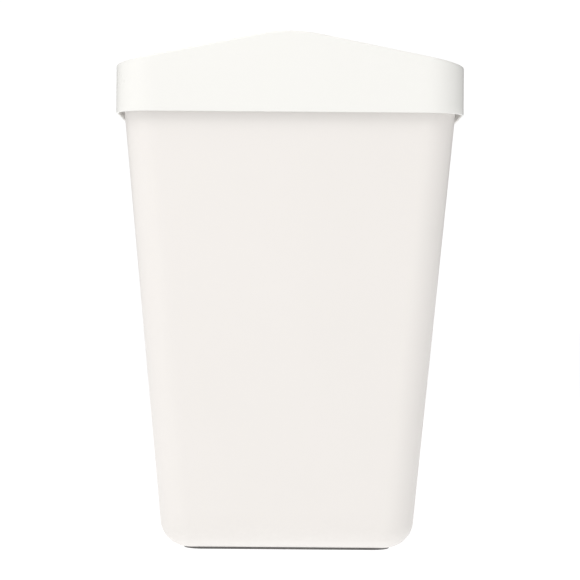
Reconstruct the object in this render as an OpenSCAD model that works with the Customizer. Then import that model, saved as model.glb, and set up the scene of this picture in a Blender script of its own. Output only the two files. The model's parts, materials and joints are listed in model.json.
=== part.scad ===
// Pedal bin with a tapered tub, a lift-off gabled hood and two flaps that part along the ridge.
// Front (pedal) is -Y, rear (push rod) is +Y, +Z is up, and the floor is z = 0.

/* [Hood] */
// Width of the hood, the widest part
hood_w = 360; // [320:1:440]
// Depth of the hood
hood_d = 300; // [280:1:360]
// Plan corner radius of the hood
hood_r = 38; // [25:1:50]
// Wall of the hood
hood_wall = 2.6; // [2:0.1:3.5]
// How far the skirt hangs below the rim of the tub
skirt_drop = 16; // [10:1:24]
// Height of the eave above the rim of the tub
eave_rise = 34; // [30:1:44]
// Pitch of the roof in degrees
roof_pitch = 11.3; // [6:0.1:14]
// Radius that rounds the ridge
ridge_r = 160; // [60:5:220]
// Width of the roof border outside the flaps
border_w = 23.2; // [20:0.1:34]
// Depth of the roof border in front of and behind the flaps
border_d = 20; // [16:0.5:26]

/* [Tub] */
// Height of the rim of the tub above the floor
tub_h = 471; // [380:1:560]
// Lean of the tub walls in degrees
tub_taper = 5.1; // [3:0.1:6.5]
// Wall of the tub
tub_wall = 2.6; // [2:0.1:3.5]
// Floor of the tub
tub_floor = 3; // [2.5:0.1:4]
// Plan corner radius of the tub
tub_r = 32; // [28:1:40]
// Radius between the walls and the floor
toe_r = 26; // [18:1:27]
// Step from the face of the skirt in to the tub
reveal = 8.6; // [7:0.1:11]
// Height of the base ring under the tub
ring_h = 2; // [1.5:0.5:4]
// Width of the base ring
ring_w = 12; // [8:1:16]

/* [Bucket] */
// Wall of the bucket
bucket_wall = 1.8; // [1.4:0.1:2.5]
// Room between the bucket and the tub at the sides and front
bucket_gap = 4; // [3:0.5:6]
// Height of the bucket's underside above the floor
bucket_z = 50; // [48:1:70]
// Thickness of the bucket's flange
flange_t = 2.5; // [2:0.1:3]

/* [Pedal] */
// Height of the pedal axle above the floor
axle_z = 22; // [21:0.5:25]
// Distance of the pedal axle in front of the middle
axle_front = 40; // [30:1:46]
// Diameter of the pedal axle
axle_d = 5; // [4:0.5:6]
// Tilt of the lever at rest in degrees
lever_tilt = 5.7; // [5:0.1:6.2]
// Width of the lever
lever_w = 18; // [14:1:22]
// Thickness of the lever
lever_t = 4; // [3:0.5:5]
// Width of the tread
tread_w = 74; // [60:1:84]
// Depth of the tread, front to back
tread_d = 40; // [34:1:44]
// Thickness of the tread's moulding
tread_t = 11; // [10:0.5:12]

/* [Push rod] */
// Diameter of the push rod
rod_d = 5; // [4:0.5:6]
// Distance of the rod's axis from the inside of the rear wall
rod_inset = 22; // [20:1:24]
// Vertical travel of the rod at a full press
rod_travel = 26; // [22:1:28]

/* [Flaps] */
// Opening angle of each flap in degrees
flap_open = 72; // [60:1:76]
// Thickness of the flap plate
flap_t = 2.5; // [2:0.1:3]
// Radius of the hinge barrel
barrel_r = 6; // [5:0.5:7]
// Diameter of the hinge rod
hinge_d = 4; // [3:0.5:5]

/* [Fasteners] */
// Diameter of the small screws
screw_d = 3; // [2.5:0.5:3.5]

/* [Hidden] */
$fn = 64;
slip = 0.05;      // radial play of a pin that turns in its bore
fit_gap = 0.6;    // play between the flaps and the hood
hull_fn = 32;
thin = 0.01;      // height of the slices that a hull joins

skirt_z = tub_h - skirt_drop;
eave_z = tub_h + eave_rise;
ridge_sharp = eave_z + hood_w / 2 * tan(roof_pitch);
arc_x = ridge_r * sin(roof_pitch);                      // where the ridge arc meets the slope
arc_z = ridge_sharp - ridge_r / cos(roof_pitch);        // height of the ridge arc's centre
roof_top = arc_z + ridge_r;
flange_z = tub_h;
mouth_x = hood_w / 2 - border_w + 1.2;                  // half the width of the hood's opening
mouth_y = hood_d / 2 - border_d;                        // half its depth
hinge_x = mouth_x - 1 - barrel_r;
// The barrel's top is level with the roof
hinge_z = ridge_sharp - hinge_x * tan(roof_pitch) - barrel_r / cos(roof_pitch);
flap_y = mouth_y - fit_gap;

// Half width and half depth of the tub at height z
function tub_x(z) = hood_w / 2 - reveal - (skirt_z - z) * tan(tub_taper);
function tub_y(z) = hood_d / 2 - reveal - (skirt_z - z) * tan(tub_taper);
// Height of the roof's outer face at x
function roof_z(x) = abs(x) < arc_x ? arc_z + sqrt(ridge_r * ridge_r - x * x)
    : ridge_sharp - abs(x) * tan(roof_pitch);
// Distance of the push rod behind the middle at height z
function rod_y(z) = tub_y(z) - tub_wall - rod_inset;
// Places across half the roof where its line needs a point
function roof_steps(x0, x1) = concat(
    [for (i = [0 : 10]) let (x = x0 + (arc_x - x0) * i / 10) if (x < x1 - 0.5) x], [x1]);

// Crank and yoke: the crank points as far below level at rest as above it when open
crank_swing = flap_open / 2;
pad_r = 3;
crank_t = 4;
pad_gap = 0.4;
pad_in = rod_travel / (2 * tan(crank_swing));            // from the hinge axis in to the pad
pad_drop = (crank_t / 2 + pad_r + pad_gap + pad_in * sin(crank_swing)) / cos(crank_swing);
yoke_z = hinge_z - pad_drop;
yoke_y = rod_y(yoke_z);
yoke_half = hinge_x - pad_in;
crank_len = pad_in * cos(crank_swing) + pad_drop * sin(crank_swing) + 1.5;
crank_w = 14;
crank_y0 = flap_y - 1 - crank_w;
pad_w = 9;

// Lever: its rear end carries the rod's foot
foot_r = 4;
foot_w = 16;
foot_z = axle_z - (rod_y(axle_z) + axle_front) * sin(lever_tilt);
foot_y = rod_y(foot_z + lever_t / 2 + foot_r);
rear_arm = foot_y + axle_front;
press_angle = 2 * asin(rod_travel / (2 * rear_arm));
tread_tip = hood_d / 2 - 2;                              // the tread stops under the hood's edge
front_arm = tread_tip - axle_front;
foot_top = foot_z + lever_t / 2 + 2 * foot_r;

// Rectangle with true arcs at its corners
module rounded_rect(w, d, r) {
    square([w - 2 * r, d], center = true);
    square([w, d - 2 * r], center = true);
    for (x = [-1, 1], y = [-1, 1]) translate([x * (w / 2 - r), y * (d / 2 - r)]) circle(r);
}

// Draws a profile of x and z, and carries it from y0 to y1
module along_y(y0, y1) {
    translate([0, y1, 0]) rotate([90, 0, 0]) linear_extrude(y1 - y0) children();
}

// Cylinder along X and along Y
module bar_x(x0, x1, r) translate([x0, 0, 0]) rotate([0, 90, 0]) cylinder(r = r, h = x1 - x0);
module bar_y(y0, y1, r) translate([0, y0, 0]) rotate([-90, 0, 0]) cylinder(r = r, h = y1 - y0);

// Pan-head screw pointing down, head on z = 0
module screw(length, head = 1.8) {
    cylinder(r = screw_d, h = head);
    translate([0, 0, -length]) cylinder(r = screw_d / 2, h = length + thin);
}

// One thin slice of a tapered vessel, inset from the tub's outside by side and by rear
module vessel_slice(z, side, rear, shrink = 0) {
    y_front = -tub_y(z) + side + shrink;
    y_rear = tub_y(z) - rear - shrink;
    r = max(tub_r - side - shrink, 3);
    translate([0, (y_front + y_rear) / 2, z - thin])
        linear_extrude(thin) rounded_rect(2 * (tub_x(z) - side - shrink), y_rear - y_front, r, $fn = hull_fn);
}

// Solid tapered vessel with a rounded toe, from z0 up to z1
module vessel(z0, z1, side, rear, toe) {
    hull() {
        for (a = [0 : 15 : 90])
            vessel_slice(z0 + toe * (1 - cos(a)) + thin, side, rear, toe * (1 - sin(a)), $fn = hull_fn);
        vessel_slice(z1, side, rear);
    }
}

// Gable-shaped solid under the roof line lowered by drop
module under_roof(drop, half, y0, y1, floor_z) {
    along_y(y0, y1) polygon(concat([[half, floor_z]],
        [for (i = [len(roof_steps(0, half)) - 1 : -1 : 0]) let (x = roof_steps(0, half)[i]) [x, roof_z(x) - drop]],
        [for (x = roof_steps(0, half)) if (x > 0) [-x, roof_z(x) - drop]],
        [[-half, floor_z]]));
}

// ---- the standing part ----

module outer_tub() {
    notch_w = lever_w + 14;
    lever_out = tub_y(axle_z) - axle_front;
    notch_z = axle_z - lever_out * tan(press_angle - lever_tilt) - lever_t / 2 - 3.5;
    notch_top = axle_z + lever_out * tan(lever_tilt) + lever_t / 2 + 3.5;
    bead = 1.4;
    color("linen") difference() {
        union() {
            vessel(ring_h, tub_h, 0, 0, toe_r);
            // rolled rim
            translate([0, 0, tub_h - 5]) linear_extrude(5)
                rounded_rect(2 * (tub_x(tub_h) + bead), 2 * (tub_y(tub_h) + bead), tub_r + bead);
        }
        vessel(ring_h + tub_floor, tub_h + 1, tub_wall, tub_wall, toe_r - tub_wall);
        // way out for the lever
        translate([0, -tub_y(0) + toe_r, notch_z]) rotate([90, 0, 0]) linear_extrude(2 * toe_r)
            translate([0, (notch_top - notch_z) / 2]) rounded_rect(notch_w, notch_top - notch_z, 6);
    }
}

ring_half_x = tub_x(ring_h) - toe_r + 4;
ring_half_y = tub_y(ring_h) - toe_r + 4;
module base_ring() {
    color("dimgray") linear_extrude(ring_h) difference() {
        rounded_rect(2 * ring_half_x, 2 * ring_half_y, tub_r - toe_r + 14);
        rounded_rect(2 * (ring_half_x - ring_w), 2 * (ring_half_y - ring_w), 8);
    }
}

bucket_side = tub_wall + bucket_gap;
bucket_rear = tub_wall + rod_inset + 9;
module inner_bucket() {
    rim_in = bucket_side + bucket_wall;
    grip_w = 70;
    color("gainsboro") difference() {
        union() {
            vessel(bucket_z, flange_z + flange_t, bucket_side, bucket_rear, toe_r - bucket_gap);
            // flange that hangs on the tub's rim at the sides and front
            intersection() {
                translate([0, 0, flange_z]) linear_extrude(flange_t)
                    rounded_rect(2 * tub_x(tub_h), 2 * tub_y(tub_h), tub_r);
                translate([-hood_w / 2, -hood_d / 2, 0])
                    cube([hood_w, hood_d / 2 + rod_y(flange_z) - 16, 2 * tub_h]);
            }
        }
        vessel(bucket_z + 2, flange_z + flange_t + 1, rim_in, bucket_rear + bucket_wall,
            toe_r - bucket_gap - bucket_wall);
        // finger notches in the flange
        for (s = [-1, 1]) translate([s * (tub_x(tub_h) - 3), -14, flange_z + flange_t / 2])
            cube([9, grip_w, 2 * flange_t], center = true);
    }
}

module bag_ring() {
    ring_side = bucket_side + bucket_wall + 0.8;
    ring_rear = bucket_rear + bucket_wall + 0.8;
    top = flange_z - 10;
    color("silver") difference() {
        vessel(top - 7, top, ring_side, ring_rear, 0);
        vessel(top - 8, top + 1, ring_side + 2, ring_rear + 2, 0);
    }
}

bracket_t = 8;
bracket_x = lever_w / 2 + 1;
module axle_bracket(s) {
    height = axle_z + axle_d / 2 + 3;
    color("lightgray") translate([0, -axle_front, 0]) difference() {
        union() {
            translate([s > 0 ? bracket_x : -bracket_x - bracket_t, -9, ring_h + tub_floor])
                cube([bracket_t, 18, height - ring_h - tub_floor]);
            translate([s > 0 ? bracket_x : -bracket_x - bracket_t - 12, -9, ring_h + tub_floor])
                cube([bracket_t + 12, 18, 3]);
        }
        translate([0, 0, axle_z]) bar_x(-60, 60, axle_d / 2);
        translate([s * (bracket_x + bracket_t + 6), 0, 0]) cylinder(r = screw_d / 2, h = 30);
    }
}
module axle_bracket_left() axle_bracket(-1);
module axle_bracket_right() axle_bracket(1);

module pedal_axle() {
    color("gray") translate([0, -axle_front, axle_z])
        bar_x(-bracket_x - bracket_t, bracket_x + bracket_t, axle_d / 2);
}

module bracket_screws() {
    color("gray") for (s = [-1, 1])
        translate([s * (bracket_x + bracket_t + 6), -axle_front, ring_h + tub_floor + 3]) screw(3);
}

// Guide for the push rod, on the rear wall at height z
guide_h = 14;
module rod_guide(z) {
    y_wall = tub_y(z) - tub_wall;
    depth = rod_inset + 7;
    color("lightgray") difference() {
        translate([0, y_wall, z]) rotate([-tub_taper, 0, 0]) union() {
            translate([-7, -depth, -guide_h / 2]) cube([14, depth - 0.2, guide_h]);
            translate([-20, -3.2, -guide_h / 2]) cube([40, 3, guide_h]);
        }
        rod_line() translate([0, 0, -tub_h]) cylinder(r = rod_d / 2 + slip, h = 3 * tub_h);
        for (s = [-1, 1]) translate([s * 14, y_wall, z]) rotate([-tub_taper, 0, 0])
            translate([0, 1, 0]) rotate([90, 0, 0]) cylinder(r = screw_d / 2, h = 8);
    }
}
// Places its children on the rod's line, with +Z along the rod and z = 0 at the lever's axle height
module rod_line() translate([0, rod_y(axle_z), axle_z]) rotate([-tub_taper, 0, 0]) children();
guide_low_z = 110;
guide_high_z = tub_h - 60;
module lower_rod_guide() rod_guide(guide_low_z);
module upper_rod_guide() rod_guide(guide_high_z);

module guide_screws() {
    color("gray") for (z = [guide_low_z, guide_high_z], s = [-1, 1])
        translate([s * 14, tub_y(z) - tub_wall, z]) rotate([-tub_taper, 0, 0])
            translate([0, -3.2, 0]) rotate([90, 0, 0]) screw(3);
}

// ---- pedal ----

// Places its children on the lever at rest: origin on the axle, +Y to the rear
module on_lever() translate([0, -axle_front, axle_z]) rotate([-lever_tilt, 0, 0]) children();
lever_nose = 12;          // how far the tread's front stands past the lever
module pedal_lever() {
    color("silver") on_lever() difference() {
        union() {
            translate([-lever_w / 2, -(front_arm - lever_nose), -lever_t / 2])
                cube([lever_w, front_arm - lever_nose + rear_arm + 4, lever_t]);
            bar_x(-lever_w / 2, lever_w / 2, axle_d / 2 + 2.5);
        }
        bar_x(-lever_w, lever_w, axle_d / 2 + slip);
        for (y = [0, 14]) translate([0, -front_arm + lever_nose + 8 + y, -10]) cylinder(r = screw_d / 2, h = 20);
    }
}

tread_under = tread_t - lever_t - 4;     // material under the lever
module pedal_tread() {
    color("linen") on_lever() difference() {
        translate([0, -front_arm + tread_d / 2, -lever_t / 2 - tread_under])
            linear_extrude(tread_t) rounded_rect(tread_w, tread_d, 12);
        // socket for the lever
        translate([-lever_w / 2 - 0.05, -front_arm + lever_nose, -lever_t / 2 - 0.05])
            cube([lever_w + 0.1, tread_d, lever_t + 0.1]);
        // recess for the grip
        translate([0, -front_arm + tread_d / 2, lever_t / 2 + 4 - 1.5])
            linear_extrude(2) rounded_rect(tread_w - 12, tread_d - 12, 7);
        for (y = [0, 14]) translate([0, -front_arm + lever_nose + 8 + y, -30]) cylinder(r = screw_d / 2, h = 30);
    }
}

module tread_grip() {
    rib = 3;
    base = lever_t / 2 + 4 - 1.5;
    color("dimgray") on_lever() translate([0, -front_arm + tread_d / 2, base]) {
        linear_extrude(1.5) rounded_rect(tread_w - 12.4, tread_d - 12.4, 6.8);
        for (i = [-2 : 2]) translate([0, i * 5, 1.5]) linear_extrude(1)
            rounded_rect(tread_w - 24, rib, rib / 2 - 0.1);
    }
}

module tread_screws() {
    color("gray") on_lever() for (y = [0, 14])
        translate([0, -front_arm + lever_nose + 8 + y, -lever_t / 2 - tread_under])
            mirror([0, 0, 1]) screw(tread_under + lever_t);
}

// ---- push rod ----

rod_foot_len = 12;
rod_bottom = (foot_z + lever_t / 2 + foot_r + 2 - axle_z) / cos(tub_taper);
rod_top = (yoke_z - axle_z) / cos(tub_taper);
module push_rod() {
    color("silver") rod_line() translate([0, 0, rod_bottom]) cylinder(r = rod_d / 2, h = rod_top - rod_bottom);
}

foot_gap = 0.8;           // the foot stays clear of the lever over the whole travel
module rod_foot() {
    color("whitesmoke") difference() {
        union() {
            translate([0, foot_y, foot_z + lever_t / 2 / cos(lever_tilt) + foot_r + foot_gap])
                bar_x(-foot_w / 2, foot_w / 2, foot_r);
            rod_line() translate([0, 0, rod_bottom - 1.5]) cylinder(r = rod_d / 2 + 2, h = rod_foot_len);
        }
        rod_line() translate([0, 0, rod_bottom]) cylinder(r = rod_d / 2, h = rod_foot_len + 1);
    }
}

yoke_bar_h = 6;
yoke_bar_d = 5;
yoke_neck = 10;
neck_h = 4;
neck_z = yoke_z - yoke_bar_h / 2;
module yoke() {
    color("lightgray") difference() {
        union() {
            translate([-yoke_half + yoke_neck, yoke_y - yoke_bar_d / 2, yoke_z - yoke_bar_h / 2])
                cube([2 * (yoke_half - yoke_neck), yoke_bar_d, yoke_bar_h]);
            rod_line() translate([0, 0, rod_top - 9]) cylinder(r = rod_d / 2 + 2.5, h = 16);
            for (s = [-1, 1]) translate([s * yoke_half, 0, yoke_z])
                bar_y(yoke_y - pad_w / 2 + 1.5, yoke_y + pad_w / 2 - 1.5, 1.5);
            // lower necks, clear of the tips of the cranks
            for (s = [-1, 1])
                translate([s > 0 ? yoke_half - yoke_neck - 1 : -yoke_half, yoke_y - yoke_bar_d / 2, neck_z])
                    cube([yoke_neck + 1, yoke_bar_d, neck_h]);
        }
        rod_line() translate([0, 0, rod_top - 20]) cylinder(r = rod_d / 2, h = 20);
        rod_line() cylinder(r = screw_d / 2, h = rod_top + 20);
    }
}

module yoke_pads() {
    color("dimgray") for (s = [-1, 1]) translate([s * yoke_half, 0, yoke_z]) difference() {
        bar_y(yoke_y - pad_w / 2, yoke_y + pad_w / 2, pad_r);
        bar_y(yoke_y - pad_w / 2 + 1.5, yoke_y + pad_w / 2 - 1.5, 1.5);
        translate([s > 0 ? -pad_r - 1 : 0, yoke_y - yoke_bar_d / 2, neck_z - yoke_z])
            cube([pad_r + 1, yoke_bar_d, neck_h]);
    }
}

module yoke_screw() color("gray") rod_line() translate([0, 0, rod_top + 7]) screw(7);

// ---- hood ----

frame_wall = 2;
frame_z = flange_z + flange_t + 0.2;     // the chute ends just above the bucket's flange
ledge = 7;
screen_y = yoke_y - 8.5;          // front face of the screen that hides the yoke
screen_t = 2;
screen_z = flange_z + flange_t + 2;
boss_y = 7;
module hood() {
    roof_drop = hood_wall / cos(roof_pitch);
    color("white") difference() {
        union() {
            difference() {
                hood_block(hood_w, hood_d, hood_r, 0);
                hood_block(hood_w - 2 * hood_wall, hood_d - 2 * hood_wall, hood_r - hood_wall, roof_drop);
            }
            // chute round the mouth, ribs that stand on the bucket's flange, and hinge bosses
            intersection() {
                union() {
                    translate([0, 0, frame_z]) linear_extrude(roof_top) difference() {
                        rounded_rect(2 * (mouth_x + frame_wall), 2 * (mouth_y + frame_wall), 4);
                        square([2 * mouth_x, 2 * mouth_y], center = true);
                    }
                    hood_ribs();
                    for (s = [-1, 1], e = [-1, 1]) translate([s * hinge_x, 0, hinge_z])
                        bar_y(e > 0 ? mouth_y : -mouth_y - boss_y, e > 0 ? mouth_y + boss_y : -mouth_y, barrel_r);
                }
                hood_block(hood_w, hood_d, hood_r, hood_wall / 2);
            }
            // lugs for the screen
            for (s = [-1, 1]) translate([s * (mouth_x - 8) - 8, screen_y + screen_t, screen_z])
                cube([16, 3, 9]);
        }
        for (s = [-1, 1]) translate([s * (mouth_x - 8), 0, screen_z + 4.5]) bar_y(screen_y, screen_y + 6, screw_d / 2);
        // mouth
        translate([0, 0, eave_z - 20]) linear_extrude(roof_top)
            square([2 * mouth_x, 2 * mouth_y], center = true);
        for (s = [-1, 1]) translate([s * hinge_x, 0, hinge_z])
            bar_y(-mouth_y - boss_y - 1, mouth_y + boss_y + 1, hinge_d / 2);
    }
    color("white") front_ledge();
}

// The hood's outer solid, or its hollow when the roof is dropped
module hood_block(w, d, r, drop) {
    intersection() {
        translate([0, 0, skirt_z]) linear_extrude(roof_top) rounded_rect(w, d, r);
        under_roof(drop, hood_w, -hood_d, hood_d, 0);
    }
}

// Ribs between the chute and the skirt
module hood_ribs() {
    rib_t = 2;
    rib_z = frame_z;
    for (x = [-90, 0, 90]) translate([x - rib_t / 2, -hood_d / 2 + 1, rib_z])
        cube([rib_t, border_d - 1, roof_top - rib_z]);
    for (x = [-90, 90]) translate([x - rib_t / 2, mouth_y, rib_z])
        cube([rib_t, border_d - 1, roof_top - rib_z]);
    for (s = [-1, 1], y = [-80, 0, 80]) translate([s > 0 ? mouth_x : -hood_w / 2 + 1, y - rib_t / 2, rib_z])
        cube([hood_w / 2 - mouth_x - 1, rib_t, roof_top - rib_z]);
}

// Shelf under the front ends of the flaps
module front_ledge() {
    drop = flap_t / cos(roof_pitch) + 3.2;
    half = hinge_x - barrel_r - 4;
    difference() {
        under_roof(drop, half, -mouth_y - frame_wall / 2, -mouth_y + ledge, eave_z - 8);
        under_roof(drop + 2.2, half + 1, -mouth_y - 1 - frame_wall, -mouth_y + ledge + 1, eave_z - 9);
    }
}

module mechanism_screen() {
    half = hinge_x - barrel_r - 8;
    drop = flap_t / cos(roof_pitch) + 8;
    color("whitesmoke") difference() {
        union() {
            under_roof(drop, half - 26, screen_y, screen_y + screen_t, screen_z);
            translate([-mouth_x + 0.5, screen_y, screen_z]) cube([2 * mouth_x - 1, screen_t, 9]);
        }
        for (s = [-1, 1]) translate([s * (mouth_x - 8), screen_y - 5, screen_z + 4.5]) bar_y(0, 10, screw_d / 2);
    }
}

module screen_screws() {
    color("gray") for (s = [-1, 1]) translate([s * (mouth_x - 8), screen_y, screen_z + 4.5])
        rotate([90, 0, 0]) screw(4);
}

module hinge_rod(s) {
    color("silver") translate([s * hinge_x, 0, hinge_z])
        bar_y(-mouth_y - boss_y, mouth_y + boss_y, hinge_d / 2);
}
module hinge_rod_left() hinge_rod(-1);
module hinge_rod_right() hinge_rod(1);

module hinge_caps() {
    color("lightgray") for (s = [-1, 1], e = [-1, 1]) translate([s * hinge_x, 0, hinge_z])
        bar_y(e > 0 ? mouth_y + boss_y : -mouth_y - boss_y - 2, e > 0 ? mouth_y + boss_y + 2 : -mouth_y - boss_y, 3);
}

module closing_buffers() {
    color("dimgray") for (x = [-100, -40, 40, 100])
        translate([x, -mouth_y + ledge / 2 + 0.5, roof_z(x) - flap_t / cos(roof_pitch) - 3.3])
            cylinder(r = 2.5, h = 2.4);
}

// ---- flaps ----

ridge_slit = 0.6;     // half the gap between the flaps
module flap(s) {
    drop = flap_t / cos(roof_pitch);
    xs = roof_steps(ridge_slit, hinge_x);
    plate = concat([for (x = xs) [s * x, roof_z(x)]],
        [for (i = [len(xs) - 1 : -1 : 0]) [s * xs[i], roof_z(xs[i]) - drop]]);
    color("white") difference() {
        union() {
            along_y(-flap_y, flap_y) polygon(plate);
            translate([s * hinge_x, 0, hinge_z]) bar_y(-flap_y, flap_y, barrel_r);
        }
        translate([s * hinge_x, 0, hinge_z]) bar_y(-flap_y - 1, crank_y0, hinge_d / 2 + slip);
        // room for the crank: a bore for its hub, open on the side of the ridge
        on_flap(s) {
            bar_y(crank_y0 - 0.4, flap_y + 1, plate_low);
            translate([-1, crank_y0 - 0.4, -2 * barrel_r]) cube([2 * barrel_r, crank_w + 4, 2 * barrel_r + plate_low]);
        }
    }
}
module flap_left() flap(-1);
module flap_right() flap(1);

// Places its children on a flap: origin on the hinge axis, +X towards the ridge, +Z out of the roof
module on_flap(s) translate([s * hinge_x, 0, hinge_z]) mirror([s > 0 ? 1 : 0, 0, 0])
    rotate([0, -roof_pitch, 0]) children();

plate_low = barrel_r - flap_t;        // underside of the plate above the hinge axis
crank_tab = 34;
crank_holes = [16, 28];
tab_t = 3;
hub_mid = hinge_d / 2 + 0.5;          // finger and tab start in the hub's wall, past the bore
module crank(s) {
    color("lightgray") on_flap(s) difference() {
        union() {
            bar_y(crank_y0, crank_y0 + crank_w, plate_low - 0.1);
            rotate([0, crank_swing + roof_pitch, 0])
                translate([hub_mid, crank_y0 + 0.5, -crank_t / 2]) cube([crank_len - hub_mid, crank_w - 1, crank_t]);
            translate([hub_mid, crank_y0 + 0.5, plate_low - tab_t - slip])
                cube([crank_tab - hub_mid, crank_w - 1, tab_t]);
        }
        bar_y(crank_y0 - 1, crank_y0 + crank_w + 1, hinge_d / 2 + slip);
        for (x = crank_holes) translate([x, crank_y0 + crank_w / 2, 0]) cylinder(r = screw_d / 2, h = barrel_r);
    }
}
module crank_left() crank(-1);
module crank_right() crank(1);

module crank_screws(s) {
    color("gray") on_flap(s) for (x = crank_holes)
        translate([x, crank_y0 + crank_w / 2, plate_low - tab_t - slip]) mirror([0, 0, 1]) screw(tab_t);
}
module crank_screws_left() crank_screws(-1);
module crank_screws_right() crank_screws(1);

// Strip under the left flap that covers the slit at the ridge
module ridge_seal() {
    under = flap_t / cos(roof_pitch);
    lap = 4;
    color("lightgray") along_y(-mouth_y + ledge + 2, screen_y - 2) translate([0, -0.02]) polygon([
        [-9, roof_z(9) - under], [-ridge_slit, roof_z(0) - under], [-ridge_slit, roof_z(0) - under - 1.1],
        [lap, roof_z(lap) - under - 1.1], [lap, roof_z(lap) - under - 2.3], [-9, roof_z(9) - under - 2.3]]);
}

outer_tub();
base_ring();
inner_bucket();
bag_ring();
axle_bracket_left();
axle_bracket_right();
pedal_axle();
bracket_screws();
lower_rod_guide();
upper_rod_guide();
guide_screws();
pedal_lever();
pedal_tread();
tread_grip();
tread_screws();
push_rod();
rod_foot();
yoke();
yoke_pads();
yoke_screw();
hood();
mechanism_screen();
screen_screws();
hinge_rod_left();
hinge_rod_right();
hinge_caps();
closing_buffers();
flap_left();
flap_right();
crank_left();
crank_right();
crank_screws_left();
crank_screws_right();
ridge_seal();
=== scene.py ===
"""Looks of a pedal bin: tapered tub, lift-off gabled hood, a pair of ridge flaps and the pedal gear.

The rear of the bin faces +Y, the pedal is at -Y and the floor is z = 0. Lengths are metres.
"""
import json
import math

import bmesh
import bpy
from mathutils import Matrix, Quaternion, Vector


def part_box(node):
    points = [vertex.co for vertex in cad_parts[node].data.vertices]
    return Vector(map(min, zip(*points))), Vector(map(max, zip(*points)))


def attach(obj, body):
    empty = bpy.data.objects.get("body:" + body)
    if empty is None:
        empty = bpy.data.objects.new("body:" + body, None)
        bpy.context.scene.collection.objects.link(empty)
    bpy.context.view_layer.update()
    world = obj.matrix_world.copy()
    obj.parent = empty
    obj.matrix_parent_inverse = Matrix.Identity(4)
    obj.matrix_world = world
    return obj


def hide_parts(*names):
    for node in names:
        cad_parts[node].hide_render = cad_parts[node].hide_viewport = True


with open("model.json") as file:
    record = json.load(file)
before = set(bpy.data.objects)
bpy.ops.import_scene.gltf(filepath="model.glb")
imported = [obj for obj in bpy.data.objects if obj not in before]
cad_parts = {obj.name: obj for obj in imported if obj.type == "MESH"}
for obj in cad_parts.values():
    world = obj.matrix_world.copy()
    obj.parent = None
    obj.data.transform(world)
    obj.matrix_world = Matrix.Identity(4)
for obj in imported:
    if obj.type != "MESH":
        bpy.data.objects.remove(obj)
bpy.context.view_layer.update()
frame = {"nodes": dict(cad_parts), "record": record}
nodes = frame["nodes"]
body_of_node = {n: b for b, members in frame["record"]["behaviour"]["bodies"].items() for n in members}

MM = 0.001
LEAN = math.radians(5.1)                # lean of the tub's walls
ROOF_PITCH = math.radians(11.3)         # pitch of the hood's roof
TREAD_TILT = math.radians(5.7)          # how far the tread leans when the pedal is up
RIDGE_RADIUS = 0.160                    # rounding of the ridge
WALL = 2.6 * MM                         # wall of the tub and of the hood
HOOD_CORNER = 38 * MM
TUB_CORNER = 32 * MM
TOE_RADIUS = 26 * MM
MERGE = 2e-6                            # points of a CAD mesh nearer than this are one
SHARP_ANGLE = math.radians(32)


# ---------------------------------------------------------------- meshes

def placed(name, data):
    """A new object in the scene that shows data."""
    thing = bpy.data.objects.new(name, data)
    bpy.context.scene.collection.objects.link(thing)
    return thing


def new_piece(name, bm, material):
    """Turns a bmesh into an object of one material."""
    mesh = bpy.data.meshes.new(name)
    bm.to_mesh(mesh)
    bm.free()
    piece = placed(name, mesh)
    finish_mesh(piece, material)
    return piece


def finish_mesh(piece, material):
    """One material all over, smooth shading, and sharp edges above SHARP_ANGLE."""
    mesh = piece.data
    mesh.materials.clear()
    mesh.materials.append(material)
    for polygon in mesh.polygons:
        polygon.material_index = 0
        polygon.use_smooth = True
    mesh.set_sharp_from_angle(angle=SHARP_ANGLE)


def apply_modifiers(piece):
    """Replaces the piece's mesh by its evaluated one and clears the modifiers."""
    depsgraph = bpy.context.evaluated_depsgraph_get()
    mesh = bpy.data.meshes.new_from_object(piece.evaluated_get(depsgraph))
    piece.modifiers.clear()
    piece.data = mesh


def stands_for(piece, node):
    """The piece rides where its CAD node rides and hides it."""
    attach(piece, body_of_node[node])
    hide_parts(node)


def cad_copy(node):
    """A merged bmesh of a CAD node with its flat faces joined."""
    bm = bmesh.new()
    bm.from_mesh(nodes[node].data)
    bmesh.ops.remove_doubles(bm, verts=bm.verts, dist=MERGE)
    bmesh.ops.dissolve_limit(bm, angle_limit=math.radians(0.6), verts=bm.verts, edges=bm.edges)
    return bm


def round_edges(piece, edge, segments, material):
    """Rounds the piece's edges sharper than 30 degrees by edge millimetres."""
    bevel = piece.modifiers.new("edges", "BEVEL")
    bevel.width, bevel.segments = edge * MM, segments
    bevel.limit_method, bevel.angle_limit = "ANGLE", math.radians(30)
    apply_modifiers(piece)
    finish_mesh(piece, material)


def softened(node, edge, material, name=None, segments=2):
    """A moulded or machined copy of a CAD node, its sharp edges rounded by edge millimetres."""
    piece = new_piece(name or node + "_moulding", cad_copy(node), material)
    round_edges(piece, edge, segments, material)
    stands_for(piece, node)


def add_box(bm, low, high):
    """A closed box from corner low to corner high."""
    low, high = Vector(low), Vector(high)
    size = high - low
    place = Matrix.Translation((low + high) / 2) @ Matrix.Diagonal((*size, 1))
    bmesh.ops.create_cube(bm, size=1, matrix=place)


def ring_band(bm, rings, close=False):
    """Joins rings of equal length into a skin; with close, the last ring joins the first."""
    loops = [[bm.verts.new(p) for p in ring] for ring in rings]
    pairs = list(zip(loops, loops[1:])) + ([(loops[-1], loops[0])] if close else [])
    for a, b in pairs:
        for i in range(len(a)):
            j = (i + 1) % len(a)
            bm.faces.new((a[i], a[j], b[j], b[i]))
    return loops


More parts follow.
